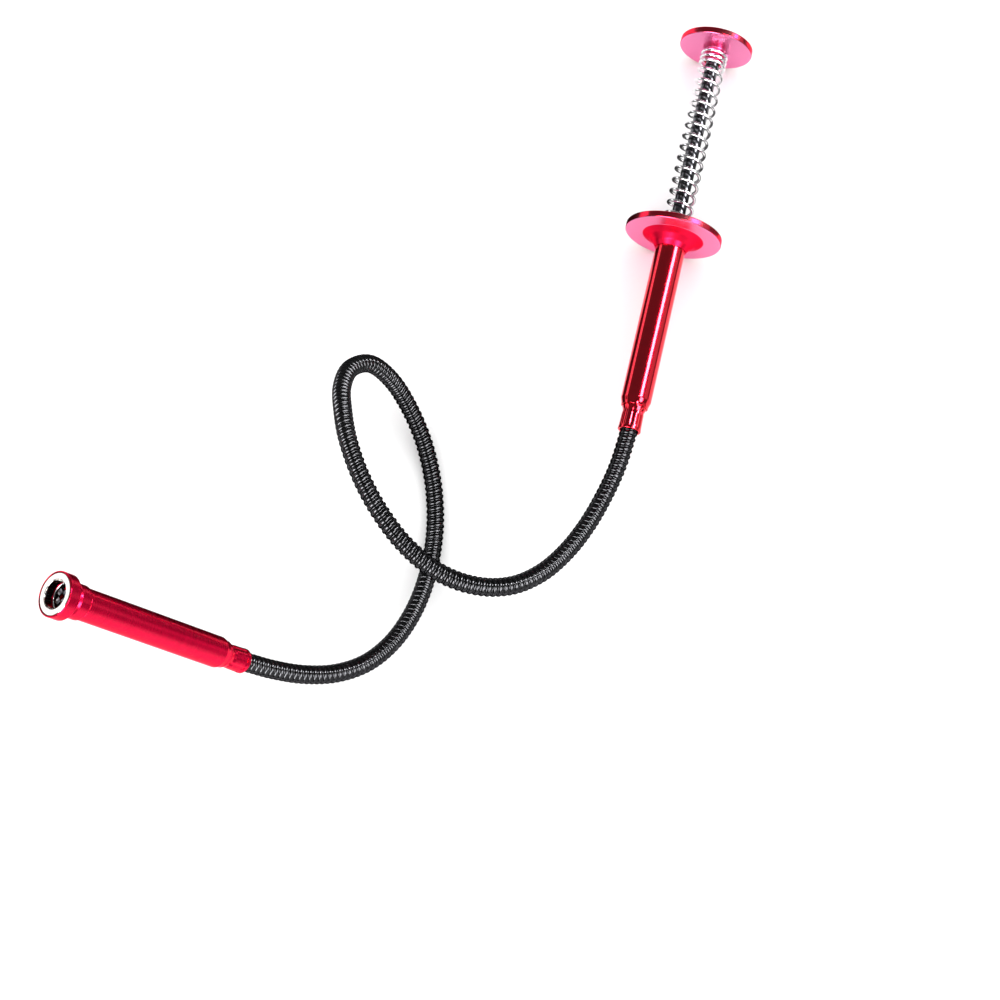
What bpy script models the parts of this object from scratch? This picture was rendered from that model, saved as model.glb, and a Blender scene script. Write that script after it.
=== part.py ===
"""Flexible drain auger: a spring-loaded thumb plunger works four claws through a bendable gooseneck.

Frame: +Z up, the ground at z = 0, the origin below the middle of the tool. The tool lies as it is put
down: on the rims of its two discs and the low side of the loop that is bent into its gooseneck, with the
head held up by the gooseneck. Handle pieces are turned on a local +Z that runs from the gooseneck to the
thumb disc, and head pieces on one that runs from the gooseneck to the mouth.
"""

import math

import bmesh
import bpy
from mathutils import Matrix, Vector

MM = 0.001
ROUND_STEPS = 24
GAP = 0.3 * MM

# The gooseneck's route, from the handle's ferrule to the head's ferrule.
ROUTE = (
    (0.0646, -0.0271, 0.0202),
    (0.0605, -0.0393, 0.0210),
    (0.0551, -0.0507, 0.0234),
    (0.0489, -0.0612, 0.0277),
    (0.0418, -0.0705, 0.0333),
    (0.0336, -0.0782, 0.0397),
    (0.0239, -0.0833, 0.0464),
    (0.0129, -0.0845, 0.0529),
    (0.0016, -0.0814, 0.0583),
    (-0.0083, -0.0742, 0.0622),
    (-0.0162, -0.0643, 0.0644),
    (-0.0223, -0.0529, 0.0647),
    (-0.0264, -0.0408, 0.0630),
    (-0.0282, -0.0296, 0.0571),
    (-0.0286, -0.0199, 0.0485),
    (-0.0261, -0.0114, 0.0392),
    (-0.0198, -0.0070, 0.0290),
    (-0.0129, -0.0098, 0.0187),
    (-0.0069, -0.0174, 0.0102),
    (-0.0021, -0.0282, 0.0054),
    (0.0007, -0.0406, 0.0034),
    (0.0014, -0.0535, 0.0032),
    (0.0001, -0.0660, 0.0055),
    (-0.0028, -0.0778, 0.0105),
    (-0.0073, -0.0885, 0.0162),
    (-0.0134, -0.0978, 0.0228),
    (-0.0211, -0.1050, 0.0302),
    (-0.0302, -0.1093, 0.0382),
    (-0.0398, -0.1109, 0.0467),
    (-0.0489, -0.1107, 0.0559),
    (-0.0575, -0.1095, 0.0655),
)
ROUTE_STEPS = 2
THUMB_POINT = Vector((0.0985, 0.1108, 0.0126))
FACE_POINT = Vector((-0.1057, -0.0991, 0.1214))

# Gooseneck and the cable in it
NECK_R = 3.0 * MM
NECK_BORE_R = 1.8 * MM
NECK_SIDES = 10
NECK_IN_FERRULE = 7.6 * MM
CABLE_R = 1.0 * MM
CABLE_HOLE_R = 1.35 * MM
CABLE_IN_ROD = 53.0 * MM
CABLE_IN_HEAD = 49.0 * MM

# Ferrules, the same at both ends, measured from the edge that the gooseneck leaves
FERRULE_R = 3.75 * MM
FERRULE_BORE_R = 3.2 * MM
FERRULE_SEAT = 8.0 * MM
FERRULE_LENGTH = 16.0 * MM
CRIMPS = 8
CRIMP_DEPTH = 0.3 * MM
CRIMP_FROM = 1.2 * MM
CRIMP_TO = 6.0 * MM

# Tube stock of the handle and the head
HANDLE_R = 5.05 * MM
HEAD_R = 4.75 * MM
TUBE_BORE_R = 4.05 * MM
TUBE_FOOT = 8.4 * MM
SHOULDER = 2.4 * MM

# Handle
HANDLE_TUBE_TOP = 68.8 * MM
FLANGE_R = 16.35 * MM
FLANGE_UNDER = 69.9 * MM
FLANGE_TOP = 72.2 * MM
CONE_R = 10.5 * MM
CONE_FOOT = 65.4 * MM
CONE_FOOT_R = 5.5 * MM
CONE_LOW = (6.5 * MM, 67.1 * MM)
CONE_HIGH = (8.3 * MM, 68.7 * MM)
ROD_R = 2.3 * MM
ROD_BORE_R = 1.5 * MM
ROD_FOOT = 48.0 * MM
ROD_BORE_TOP = 84.5 * MM
ROD_TOP = 139.7 * MM
BUSH_FOOT = 60.8 * MM
BUSH_TOP = 68.5 * MM
STOP_FOOT = 56.0 * MM
DISC_R = 12.5 * MM
DISC_UNDER = 141.1 * MM
DISC_TOP = 143.5 * MM
HUB_R = 3.2 * MM
HUB_FOOT = 136.5 * MM

# Return spring
COIL_R = 4.25 * MM
WIRE_R = 0.5 * MM
OPEN_TURNS = 14.5
FOOT_TURNS = 1.0
TOP_TURNS = 3.0
FOOT_PITCH = 1.25 * MM
TOP_PITCH = 1.9 * MM
COIL_STEPS = 10
WIRE_SIDES = 5

# Head
HEAD_TUBE_TOP = 68.6 * MM
SPIGOT_FOOT = 64.9 * MM
SPIGOT_R = 4.4 * MM
STEP_R = 5.15 * MM
COLLAR_R = 6.75 * MM
COLLAR_BACK = 70.7 * MM
GROOVE_R = 4.8 * MM
GROOVE_FROM = 69.8 * MM
GROOVE_TO = 70.3 * MM
POCKET_FLOOR = 71.6 * MM
POCKET_R = 6.4 * MM
COLLAR_BORE_R = 4.35 * MM
MAGNET_R = 6.15 * MM
MAGNET_BORE_R = 4.35 * MM
LIP_R = 4.25 * MM
LIP_BORE_R = 4.0 * MM
LIP_FOOT = 69.3 * MM

# Claws, drawn in as at rest
CLAW_COUNT = 4
CARRIER_R = 3.4 * MM
CARRIER_FOOT = 29.7 * MM
CARRIER_TOP = 37.7 * MM
CRIMP_R = 2.2 * MM
CRIMP_FOOT = 18.5 * MM
ROOT_PIVOT = 38.0 * MM
ROOT_RADIUS = 2.0 * MM
JOINT_PIVOT = 53.0 * MM
JOINT_RADIUS = 1.8 * MM
CLAW_TIP = 72.0 * MM
BELLY_RADIUS = 1.6 * MM
BELLY_AT = 61.0 * MM
TIP_RADIUS = 3.0 * MM
HOOK_INNER = 0.95 * MM
STRIP_WIDTH = 1.6 * MM
STRIP_THICK = 0.4 * MM

RED = (0.62, 0.01, 0.045)
BLACK = (0.012, 0.012, 0.013)
CHROME = (0.78, 0.78, 0.79)
NICKEL = (0.72, 0.70, 0.66)
STEEL = (0.45, 0.45, 0.46)
DARK_STEEL = (0.10, 0.10, 0.11)
BLUED = (0.055, 0.055, 0.075)
BRASS = (0.62, 0.45, 0.18)


def clear_scene():
    for thing in list(bpy.data.objects):
        bpy.data.objects.remove(thing, do_unlink=True)


def finish(name, colour, metallic, roughness):
    """A Principled material of one colour."""
    material = bpy.data.materials.new(name)
    material.use_nodes = True
    shader = material.node_tree.nodes["Principled BSDF"]
    shader.inputs["Base Color"].default_value = (*colour, 1.0)
    shader.inputs["Metallic"].default_value = metallic
    shader.inputs["Roughness"].default_value = roughness
    return material


def frame_at(origin, direction):
    """A placement with local +Z along direction."""
    turn = direction.to_track_quat("Z", "Y").to_matrix().to_4x4()
    return Matrix.Translation(origin) @ turn


HANDLE = frame_at(Vector(ROUTE[0]), THUMB_POINT - Vector(ROUTE[0]))
HEAD = frame_at(Vector(ROUTE[-1]), FACE_POINT - Vector(ROUTE[-1]))


def add_object(name, shape, placement, material):
    """Turns a bmesh into a named object at its placement, closed and facing out."""
    bmesh.ops.remove_doubles(shape, verts=shape.verts, dist=1e-7)
    bmesh.ops.recalc_face_normals(shape, faces=shape.faces)
    mesh = bpy.data.meshes.new(name)
    shape.to_mesh(mesh)
    shape.free()
    mesh.materials.append(material)
    mesh.shade_smooth()
    mesh.set_sharp_from_angle(angle=math.radians(35))
    thing = bpy.data.objects.new(name, mesh)
    thing.matrix_world = placement
    bpy.context.collection.objects.link(thing)
    return thing


def turned_shape(profile, steps=ROUND_STEPS):
    """Spins a closed outline of (radius, height) points round local Z."""
    shape = bmesh.new()
    points = [shape.verts.new((radius, 0, height)) for radius, height in profile]
    edges = [shape.edges.new((points[i - 1], points[i])) for i in range(len(points))]
    bmesh.ops.spin(
        shape,
        geom=points + edges,
        cent=(0, 0, 0),
        axis=(0, 0, 1),
        angle=2 * math.pi,
        steps=steps,
        use_merge=True,
    )
    return shape


def turned(name, profile, placement, material, steps=ROUND_STEPS):
    return add_object(name, turned_shape(profile, steps), placement, material)


def smooth_points(points, steps):
    """Points on a smooth curve through the given ones."""
    ends = [2 * points[0] - points[1]] + list(points) + [2 * points[-1] - points[-2]]
    result = []
    for a, b, c, d in zip(ends, ends[1:], ends[2:], ends[3:]):
        for step in range(steps):
            t = step / steps
            even = 2 * b + (c - a) * t
            odd = (2 * a - 5 * b + 4 * c - d) * t * t + (3 * b - a - 3 * c + d) * t**3
            result.append((even + odd) / 2)
    result.append(points[-1])
    return result


def ring_frames(points):
    """A normal and a binormal at each point, turning as little as they can along the line."""
    frames = []
    normal = Vector((0, 0, 1))
    for i in range(len(points)):
        ahead = points[min(i + 1, len(points) - 1)]
        behind = points[max(i - 1, 0)]
        tangent = (ahead - behind).normalized()
        normal = (normal - tangent * normal.dot(tangent)).normalized()
        frames.append((normal, tangent.cross(normal)))
    return frames


def ring(shape, centre, axes, radius, sides):
    """A circle of vertices."""
    angles = [2 * math.pi * k / sides for k in range(sides)]
    across, up = axes
    return [
        shape.verts.new(centre + radius * (across * math.cos(a) + up * math.sin(a)))
        for a in angles
    ]


def bridge(shape, first, second):
    """Quads between two rings of the same number of vertices."""
    for k in range(len(first)):
        shape.faces.new((first[k - 1], first[k], second[k], second[k - 1]))


def swept(name, points, radius, sides, material, bore=None):
    """A round bar along the points, or a pipe where a bore is given."""
    shape = bmesh.new()
    frames = ring_frames(points)
    outer = [ring(shape, p, f, radius, sides) for p, f in zip(points, frames)]
    for first, second in zip(outer, outer[1:]):
        bridge(shape, first, second)
    if bore is None:
        shape.faces.new(outer[0])
        shape.faces.new(outer[-1])
    else:
        inner = [ring(shape, p, f, bore, sides) for p, f in zip(points, frames)]
        for first, second in zip(inner, inner[1:]):
            bridge(shape, first, second)
        bridge(shape, outer[0], inner[0])
        bridge(shape, outer[-1], inner[-1])
    return add_object(name, shape, Matrix.Identity(4), material)


def on_axis(placement, height):
    """The world point at a height on a placement's local Z."""
    return placement @ Vector((0, 0, height))


def make_gooseneck(material):
    """The bendable conduit, with its ends seated in both ferrules."""
    route = [on_axis(HANDLE, NECK_IN_FERRULE)]
    route += smooth_points([Vector(p) for p in ROUTE], ROUTE_STEPS)
    route.append(on_axis(HEAD, NECK_IN_FERRULE))
    swept("gooseneck", route, NECK_R, NECK_SIDES, material, bore=NECK_BORE_R)


def make_cable(material):
    """The pull cable, whole from inside the plunger rod to inside the claw carrier."""
    route = [on_axis(HANDLE, CABLE_IN_ROD), on_axis(HANDLE, NECK_IN_FERRULE)]
    route += smooth_points([Vector(p) for p in ROUTE], ROUTE_STEPS)
    route += [on_axis(HEAD, NECK_IN_FERRULE), on_axis(HEAD, CABLE_IN_HEAD)]
    swept("drive_cable", route, CABLE_R, 6, material)


def make_ferrule(name, placement, material):
    """A sleeve crimped on the gooseneck's end, pressed into the tube behind it."""
    edge = 0.35 * MM
    shape = turned_shape(
        (
            (FERRULE_BORE_R, 0),
            (FERRULE_R - edge, 0),
            (FERRULE_R, edge),
            (FERRULE_R, CRIMP_FROM),
            (FERRULE_R, CRIMP_TO),
            (FERRULE_R, FERRULE_LENGTH),
            (CABLE_HOLE_R, FERRULE_LENGTH),
            (CABLE_HOLE_R, FERRULE_SEAT),
            (FERRULE_BORE_R, FERRULE_SEAT),
        )
    )
    for vertex in shape.verts:
        outside = math.hypot(vertex.co.x, vertex.co.y) > FERRULE_R - edge / 2
        if outside and MM < vertex.co.z < FERRULE_SEAT:
            angle = math.atan2(vertex.co.y, vertex.co.x)
            dent = CRIMP_DEPTH * max(0.0, math.cos(CRIMPS * angle))
            vertex.co.xy *= 1 - dent / FERRULE_R
    add_object(name, shape, placement, material)


def shoulder_profile(tube_r):
    """The rounded foot of a tube, from its bore out to its side."""
    arc = []
    for step in range(4):
        angle = math.radians(90 * step / 3)
        radius = tube_r - 0.5 * MM * (1 - math.sin(angle))
        arc.append((radius, TUBE_FOOT + SHOULDER * (1 - math.cos(angle))))
    return [(TUBE_BORE_R, TUBE_FOOT)] + arc


def make_handle_tube(material):
    profile = shoulder_profile(HANDLE_R)
    profile += [(HANDLE_R, HANDLE_TUBE_TOP), (TUBE_BORE_R, HANDLE_TUBE_TOP)]
    turned("handle_tube", profile, HANDLE, material)


def make_finger_flange(material):
    """The disc that two fingers pull against, with a coned underside that seats on the tube's end."""
    seat_r = HANDLE_R + 0.15 * MM
    edge = 0.4 * MM
    profile = (
        (seat_r, CONE_FOOT),
        (CONE_FOOT_R, CONE_FOOT),
        CONE_LOW,
        CONE_HIGH,
        (CONE_R, FLANGE_UNDER),
        (FLANGE_R - edge, FLANGE_UNDER),
        (FLANGE_R, FLANGE_UNDER + edge),
        (FLANGE_R, FLANGE_TOP - edge),
        (FLANGE_R - edge, FLANGE_TOP),
        (ROD_R + 0.6 * MM, FLANGE_TOP),
        (ROD_R + 0.6 * MM, HANDLE_TUBE_TOP + GAP),
        (seat_r, HANDLE_TUBE_TOP + GAP),
    )
    turned("finger_flange", profile, HANDLE, material, steps=36)


def make_guide_bush(material):
    """The bearing that the rod slides in, inside the top of the tube."""
    bore = ROD_R + 0.2 * MM
    outside = TUBE_BORE_R - 0.2 * MM
    profile = (
        (bore, BUSH_FOOT),
        (outside, BUSH_FOOT),
        (outside, BUSH_TOP),
        (bore, BUSH_TOP),
    )
    turned("guide_bush", profile, HANDLE, material)


def make_plunger_rod(material):
    """The push rod, bored from below for the cable's end."""
    edge = 0.3 * MM
    profile = (
        (0, ROD_BORE_TOP),
        (ROD_BORE_R, ROD_BORE_TOP),
        (ROD_BORE_R, ROD_FOOT),
        (ROD_R - edge, ROD_FOOT),
        (ROD_R, ROD_FOOT + edge),
        (ROD_R, ROD_TOP),
        (0, ROD_TOP),
    )
    turned("plunger_rod", profile, HANDLE, material)


def make_rod_stop(material):
    """The ring on the rod that meets the bush and keeps the spring from pushing the rod out."""
    bore = ROD_R + 0.15 * MM
    outside = TUBE_BORE_R - 0.35 * MM
    top = BUSH_FOOT - GAP
    profile = ((bore, STOP_FOOT), (outside, STOP_FOOT), (outside, top), (bore, top))
    turned("rod_stop", profile, HANDLE, material)


def make_thumb_disc(material):
    """The plunger's thumb plate, with a hub that holds the rod's end inside the spring."""
    edge = 0.45 * MM
    profile = (
        (0, DISC_UNDER - MM),
        (ROD_R + 0.2 * MM, DISC_UNDER - MM),
        (ROD_R + 0.2 * MM, HUB_FOOT),
        (HUB_R, HUB_FOOT),
        (HUB_R, DISC_UNDER),
        (DISC_R - edge, DISC_UNDER),
        (DISC_R, DISC_UNDER + edge),
        (DISC_R, DISC_TOP - edge),
        (DISC_R - edge, DISC_TOP),
        (0, DISC_TOP),
    )
    turned("thumb_disc", profile, HANDLE, material, steps=36)


def spring_height(turn, open_pitch):
    """Height above the spring's foot after so many turns."""
    height = FOOT_PITCH * min(turn, FOOT_TURNS)
    height += open_pitch * min(max(turn - FOOT_TURNS, 0), OPEN_TURNS)
    return height + TOP_PITCH * max(turn - FOOT_TURNS - OPEN_TURNS, 0)


def make_return_spring(material):
    """A left-hand compression spring of round wire with closed end coils, round the rod."""
    foot = FLANGE_TOP + WIRE_R + GAP
    length = DISC_UNDER - WIRE_R - GAP - foot
    closed = FOOT_PITCH * FOOT_TURNS + TOP_PITCH * TOP_TURNS
    open_pitch = (length - closed) / OPEN_TURNS
    turns = FOOT_TURNS + OPEN_TURNS + TOP_TURNS
    steps = int(turns * COIL_STEPS)
    points = []
    for step in range(steps + 1):
        turn = step / COIL_STEPS
        angle = -2 * math.pi * turn
        height = foot + spring_height(turn, open_pitch)
        local = Vector((COIL_R * math.cos(angle), COIL_R * math.sin(angle), height))
        points.append(HANDLE @ local)
    swept("return_spring", points, WIRE_R, WIRE_SIDES, material)


def make_head_tube(material):
    profile = shoulder_profile(HEAD_R)
    profile += [
        (HEAD_R, SPIGOT_FOOT),
        (SPIGOT_R, SPIGOT_FOOT),
        (SPIGOT_R, HEAD_TUBE_TOP),
        (TUBE_BORE_R, HEAD_TUBE_TOP),
    ]
    turned("head_tube", profile, HEAD, material)


def face_height():
    """Distance from the head's ferrule to the mouth."""
    return (FACE_POINT - Vector(ROUTE[-1])).length


def make_head_collar(material):
    """The magnet's housing: a step ring over the tube's end, a coned neck and the wide collar."""
    face = face_height()
    socket_r = SPIGOT_R + 0.15 * MM
    back = SPIGOT_FOOT + GAP
    edge = 0.35 * MM
    profile = (
        (socket_r, back),
        (STEP_R - edge, back),
        (STEP_R, back + edge),
        (STEP_R, GROOVE_FROM - 1.2 * MM),
        (GROOVE_R, GROOVE_FROM),
        (GROOVE_R, GROOVE_TO),
        (COLLAR_R - edge, COLLAR_BACK - edge),
        (COLLAR_R, COLLAR_BACK),
        (COLLAR_R, face - edge),
        (COLLAR_R - edge, face),
        (POCKET_R, face),
        (POCKET_R, POCKET_FLOOR),
        (COLLAR_BORE_R, POCKET_FLOOR),
        (COLLAR_BORE_R, HEAD_TUBE_TOP + GAP),
        (socket_r, HEAD_TUBE_TOP + GAP),
    )
    turned("head_collar", profile, HEAD, material, steps=32)


def make_magnet_ring(material):
    face = face_height() - 0.1 * MM
    floor = POCKET_FLOOR + GAP
    edge = 0.2 * MM
    profile = (
        (MAGNET_BORE_R, floor),
        (MAGNET_R, floor),
        (MAGNET_R, face - edge),
        (MAGNET_R - edge, face),
        (MAGNET_BORE_R + edge, face),
        (MAGNET_BORE_R, face - edge),
    )
    turned("magnet_ring", profile, HEAD, material, steps=32)


def make_bore_lip(material):
    """The thin steel ring behind the magnet that the claws slide past."""
    top = POCKET_FLOOR - 0.2 * MM
    profile = (
        (LIP_BORE_R, LIP_FOOT),
        (LIP_R, LIP_FOOT),
        (LIP_R, top),
        (LIP_BORE_R, top),
    )
    turned("bore_lip", profile, HEAD, material)


def make_claw_carrier(material):
    """The slug that holds the roots of the four claws and slides in the head tube."""
    edge = 0.4 * MM
    profile = (
        (CABLE_HOLE_R, CARRIER_FOOT),
        (CARRIER_R - edge, CARRIER_FOOT),
        (CARRIER_R, CARRIER_FOOT + edge),
        (CARRIER_R, CARRIER_TOP),
        (CABLE_HOLE_R, CARRIER_TOP),
    )
    turned("claw_carrier", profile, HEAD, material)


def make_cable_crimp(material):
    """The sleeve that grips the cable behind the carrier."""
    top = CARRIER_FOOT - GAP
    profile = (
        (CABLE_HOLE_R, CRIMP_FOOT),
        (CRIMP_R, CRIMP_FOOT),
        (CRIMP_R, top),
        (CABLE_HOLE_R, top),
    )
    turned("cable_crimp", profile, HEAD, material, steps=12)


def claw_frame(index):
    """The head's frame turned to one claw, which lies on its local +X side."""
    return HEAD @ Matrix.Rotation(2 * math.pi * (index + 0.5) / CLAW_COUNT, 4, "Z")


def strip_outline(line, corner=None):
    """Both faces of a bent strip, as (radius, height) points round its section's middle line."""
    outer, inner = [], []
    for i, point in enumerate(line):
        ahead = line[min(i + 1, len(line) - 1)]
        behind = line[max(i - 1, 0)]
        along = (Vector(ahead) - Vector(behind)).normalized()
        side = Vector((along.y, -along.x)) * (STRIP_THICK / 2)
        outer.append(Vector(point) + side)
        inner.append(Vector(point) - side)
    if corner is not None:
        outer += [Vector(point) for point in corner[0]]
        inner += [Vector(point) for point in corner[1]]
    return outer, inner


def strip(name, line, placement, pivot, material, corner=None):
    """A flat spring strip, its origin on its pivot."""
    outer, inner = strip_outline(line, corner)
    shape = bmesh.new()
    rows = []
    for a, b in zip(outer, inner):
        row = []
        for point, side in ((a, -1), (a, 1), (b, 1), (b, -1)):
            across = side * STRIP_WIDTH / 2
            row.append(shape.verts.new((point.x - pivot[0], across, point.y - pivot[1])))
        rows.append(row)
    for first, second in zip(rows, rows[1:]):
        bridge(shape, first, second)
    shape.faces.new(rows[0])
    shape.faces.new(rows[-1])
    offset = Matrix.Translation((pivot[0], 0, pivot[1]))
    add_object(name, shape, placement @ offset, material)


def claw_line(first, last, count):
    """The middle line of a claw between two heights, with a slight belly towards the axis."""
    line = []
    for step in range(count + 1):
        height = first + (last - first) * step / count
        if height < BELLY_AT:
            share = (height - ROOT_PIVOT) / (BELLY_AT - ROOT_PIVOT)
            radius = ROOT_RADIUS + (BELLY_RADIUS - ROOT_RADIUS) * share
        else:
            share = (height - BELLY_AT) / (CLAW_TIP - BELLY_AT)
            radius = BELLY_RADIUS + (TIP_RADIUS - BELLY_RADIUS) * share * share
        line.append((radius, height))
    return line


def make_claw(index, material):
    """One claw in two lengths, hinged at its root and half way, so that it can spread."""
    placement = claw_frame(index)
    root = claw_line(ROOT_PIVOT, JOINT_PIVOT - GAP / 2, 4)
    number = index + 1
    strip(f"claw_root_{number}", root, placement, (ROOT_RADIUS, ROOT_PIVOT), material)
    half = STRIP_THICK / 2
    bend = CLAW_TIP - STRIP_THICK
    tip = claw_line(JOINT_PIVOT + GAP / 2, bend - 0.8 * MM, 7)
    outside = TIP_RADIUS + half
    hook = (
        [(outside, bend), (outside - half, CLAW_TIP), (HOOK_INNER, CLAW_TIP)],
        [(outside - 2 * half, bend - half), (outside - 3 * half, bend), (HOOK_INNER, bend)],
    )
    pivot = (JOINT_RADIUS, JOINT_PIVOT)
    strip(f"claw_tip_{number}", tip, placement, pivot, material, corner=hook)


def main():
    clear_scene()
    red = finish("red_anodised", RED, 1.0, 0.25)
    black = finish("black_gooseneck", BLACK, 0.6, 0.25)
    chrome = finish("chrome_spring", CHROME, 1.0, 0.12)
    nickel = finish("nickel_magnet", NICKEL, 1.0, 0.15)
    steel = finish("plain_steel", STEEL, 1.0, 0.35)
    dark = finish("dark_steel", DARK_STEEL, 1.0, 0.25)
    blued = finish("blued_spring_steel", BLUED, 0.9, 0.3)
    brass = finish("brass", BRASS, 1.0, 0.35)

    make_ferrule("handle_ferrule", HANDLE, red)
    make_handle_tube(red)
    make_finger_flange(red)
    make_guide_bush(brass)
    make_plunger_rod(dark)
    make_rod_stop(steel)
    make_thumb_disc(red)
    make_return_spring(chrome)
    make_gooseneck(black)
    make_cable(steel)
    make_ferrule("head_ferrule", HEAD, red)
    make_head_tube(red)
    make_head_collar(red)
    make_magnet_ring(nickel)
    make_bore_lip(steel)
    make_claw_carrier(steel)
    make_cable_crimp(steel)
    for index in range(CLAW_COUNT):
        make_claw(index, blued)


main()
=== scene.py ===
"""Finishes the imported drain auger: rebuilds every visible piece in detail on its body and lights it.

Turned pieces are drawn on a local +Z: the handle's runs from the gooseneck to the thumb rest, and the
head's from the gooseneck to the mouth. Everything is in metres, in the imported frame.
"""

import bisect
import math

import bmesh
import bpy
from mathutils import Matrix, Vector


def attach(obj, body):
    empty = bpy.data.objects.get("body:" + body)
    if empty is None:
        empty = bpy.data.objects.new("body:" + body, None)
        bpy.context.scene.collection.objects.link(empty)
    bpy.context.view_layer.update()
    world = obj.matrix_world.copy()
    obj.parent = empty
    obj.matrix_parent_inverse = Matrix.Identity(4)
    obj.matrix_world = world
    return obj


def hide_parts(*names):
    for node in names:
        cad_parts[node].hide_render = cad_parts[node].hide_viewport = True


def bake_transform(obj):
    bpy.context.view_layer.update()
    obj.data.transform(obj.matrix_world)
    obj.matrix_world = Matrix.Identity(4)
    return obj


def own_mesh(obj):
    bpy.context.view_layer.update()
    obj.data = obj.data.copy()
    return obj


bl_info = {
    "name": "Drain Auger",
    "version": (1, 0, 0),
    "blender": (4, 5, 0),
    "location": "3D View > Sidebar > Auger",
    "description": "Builds the visible pieces of a claw drain auger round its packed frame",
    "category": "Add Mesh",
}

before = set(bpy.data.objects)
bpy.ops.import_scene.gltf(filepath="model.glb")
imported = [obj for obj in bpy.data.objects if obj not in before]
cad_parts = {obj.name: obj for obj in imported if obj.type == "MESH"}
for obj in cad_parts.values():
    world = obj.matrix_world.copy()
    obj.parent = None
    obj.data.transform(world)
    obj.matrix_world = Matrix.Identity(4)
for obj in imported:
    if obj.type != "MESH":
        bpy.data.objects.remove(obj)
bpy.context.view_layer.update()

MM = 0.001
FULL_TURN = 2 * math.pi

# The gooseneck's route, from the handle's ferrule to the head's, as in the part's source.
# A fitting program printed these points. Only the heights of points 20 to 23 were given one by one.
ROUTE = (
    (0.0646, -0.0271, 0.0202),
    (0.0605, -0.0393, 0.0210),
    (0.0551, -0.0507, 0.0234),
    (0.0489, -0.0612, 0.0277),
    (0.0418, -0.0705, 0.0333),
    (0.0336, -0.0782, 0.0397),
    (0.0239, -0.0833, 0.0464),
    (0.0129, -0.0845, 0.0529),
    (0.0016, -0.0814, 0.0583),
    (-0.0083, -0.0742, 0.0622),
    (-0.0162, -0.0643, 0.0644),
    (-0.0223, -0.0529, 0.0647),
    (-0.0264, -0.0408, 0.0630),
    (-0.0282, -0.0296, 0.0571),
    (-0.0286, -0.0199, 0.0485),
    (-0.0261, -0.0114, 0.0392),
    (-0.0198, -0.0070, 0.0290),
    (-0.0129, -0.0098, 0.0187),
    (-0.0069, -0.0174, 0.0102),
    (-0.0021, -0.0282, 0.0054),
    (0.0007, -0.0406, 0.0034),
    (0.0014, -0.0535, 0.0032),
    (0.0001, -0.0660, 0.0055),
    (-0.0028, -0.0778, 0.0105),
    (-0.0073, -0.0885, 0.0162),
    (-0.0134, -0.0978, 0.0228),
    (-0.0211, -0.1050, 0.0302),
    (-0.0302, -0.1093, 0.0382),
    (-0.0398, -0.1109, 0.0467),
    (-0.0489, -0.1107, 0.0559),
    (-0.0575, -0.1095, 0.0655),
)
ROUTE_STEPS = 24
THUMB_POINT = Vector((0.0985, 0.1108, 0.0126))
FACE_POINT = Vector((-0.1057, -0.0991, 0.1214))

# Heights along the handle, from the edge that the gooseneck leaves
SEAT = 7.6 * MM
FERRULE_TOP = 16.0 * MM
TUBE_FOOT = 8.4 * MM
HANDLE_TUBE_TOP = 68.8 * MM
CONE_FOOT = 65.4 * MM
FLANGE_UNDER = 69.9 * MM
FLANGE_TOP = 72.2 * MM
ROD_FOOT = 48.0 * MM
ROD_BORE_TOP = 84.5 * MM
ROD_TOP = 139.7 * MM
HUB_FOOT = 136.5 * MM
DISC_UNDER = 141.1 * MM
DISC_TOP = 143.5 * MM

# Heights along the head
SPIGOT_FOOT = 64.9 * MM
HEAD_TUBE_TOP = 68.6 * MM
GROOVE_FROM = 69.8 * MM
COLLAR_BACK = 70.7 * MM
POCKET_FLOOR = 71.6 * MM
LIP_FOOT = 69.3 * MM
LIP_TOP = 71.4 * MM
ROOT_PIVOT = 38.0 * MM
JOINT_PIVOT = 53.0 * MM
BELLY_AT = 61.0 * MM
CLAW_TIP = 72.0 * MM

# Radii
FERRULE_BORE_R = 3.15 * MM
CABLE_HOLE_R = 1.35 * MM
TUBE_BORE_R = 4.05 * MM
SPIGOT_R = 4.4 * MM
STEP_R = 5.15 * MM
GROOVE_R = 4.8 * MM
COLLAR_R = 6.75 * MM
POCKET_R = 6.4 * MM
COLLAR_BORE_R = 4.35 * MM
MAGNET_R = 6.15 * MM
MAGNET_BORE_R = 4.35 * MM
LIP_R = 4.25 * MM
LIP_BORE_R = 4.0 * MM
ROD_R = 2.3 * MM
ROD_BORE_R = 1.5 * MM
HUB_R = 3.2 * MM
COIL_R = 4.25 * MM
ROOT_RADIUS = 2.0 * MM
BELLY_RADIUS = 1.6 * MM
TIP_RADIUS = 3.0 * MM
HOOK_INNER = 0.95 * MM

# Radii at which the red of the two rests changes its tone
CONE_R = 10.4 * MM
FLANGE_EDGE_R = 16.35 * MM
DISC_EDGE_R = 12.5 * MM

# How far the colour ramps of the rests span, outward and along the handle
RAMP_REACH = 20.0 * MM
RAMP_HEIGHT = 160.0 * MM

# The stage
FLOOR_HALF = 1.6
CARD_LIFT = 0.5 * MM
BACKDROP = (0.93, 0.93, 0.94, 1.0)
ROOM_LIGHT = (0.15, 0.15, 0.15, 1.0)

# The camera's place and directions, from the same fit as the route
CAMERA_PLACE = (-0.01259, -0.21413, 0.76036)
CAMERA_RIGHT = (0.999, -0.0099, 0.0446)
CAMERA_BACK = (-0.0457, -0.216, 0.9753)
CAMERA_LENS = 84.17
CAMERA_SENSOR = 36.0

GAP = 0.3 * MM
CLAW_COUNT = 4
ROUND_STEPS = 96
EDGE_STEPS = 4
EDGE_GUARD = 0.05 * MM


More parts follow.
